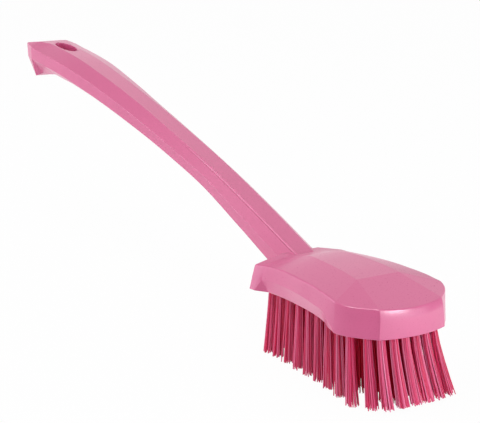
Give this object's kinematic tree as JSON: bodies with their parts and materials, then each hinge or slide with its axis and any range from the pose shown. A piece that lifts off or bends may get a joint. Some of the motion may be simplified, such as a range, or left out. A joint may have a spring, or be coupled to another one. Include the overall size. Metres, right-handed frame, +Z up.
{
  "type": "wash brush",
  "caption": "Wash brush with a faceted plastic block, tufted stiff bristles and a long arched handle that ends in a hanging hole and a turned-down lip.",
  "frame": {"origin": "centre of the bounding box's bottom face, on the floor that the bristle tips stand on", "axes": "+X from the end of the handle to the nose of the block, +Y across the block, +Z up through the block"},
  "size_m": [0.4226, 0.067, 0.1227],
  "materials": {
    "body_plastic": "moulded polypropylene, semi-gloss, fine even grain",
    "bristle": "stiff extruded polyester filaments, satin"
  },
  "bodies": {
    "root": {"brush_body": "body_plastic", "tuft_side_01": "bristle", "tuft_side_02": "bristle", "tuft_side_03": "bristle", "tuft_side_04": "bristle", "tuft_side_05": "bristle", "tuft_side_06": "bristle", "tuft_side_07": "bristle", "tuft_side_08": "bristle", "tuft_side_09": "bristle", "tuft_side_10": "bristle", "tuft_side_11": "bristle", "tuft_side_12": "bristle", "tuft_side_13": "bristle", "tuft_side_14": "bristle", "tuft_side_15": "bristle", "tuft_side_16": "bristle", "tuft_side_17": "bristle", "tuft_side_18": "bristle", "tuft_cheek_01": "bristle", "tuft_cheek_02": "bristle", "tuft_front_01": "bristle", "tuft_front_02": "bristle", "tuft_front_03": "bristle", "tuft_front_04": "bristle", "tuft_front_05": "bristle", "tuft_front_06": "bristle", "tuft_rear_01": "bristle", "tuft_rear_02": "bristle", "tuft_rear_03": "bristle", "tuft_inner_01": "bristle", "tuft_inner_02": "bristle", "tuft_inner_03": "bristle", "tuft_inner_04": "bristle", "tuft_inner_05": "bristle", "tuft_inner_06": "bristle", "tuft_inner_07": "bristle", "tuft_inner_08": "bristle", "tuft_inner_09": "bristle", "tuft_inner_10": "bristle", "tuft_inner_11": "bristle", "tuft_inner_12": "bristle", "tuft_inner_13": "bristle", "tuft_inner_14": "bristle", "tuft_inner_15": "bristle", "tuft_inner_16": "bristle", "tuft_inner_17": "bristle", "tuft_inner_18": "bristle", "tuft_inner_19": "bristle", "tuft_inner_20": "bristle", "tuft_inner_21": "bristle", "tuft_inner_22": "bristle", "tuft_inner_23": "bristle", "tuft_inner_24": "bristle", "tuft_inner_25": "bristle", "tuft_inner_26": "bristle", "tuft_inner_27": "bristle"}
  },
  "joints": []
}
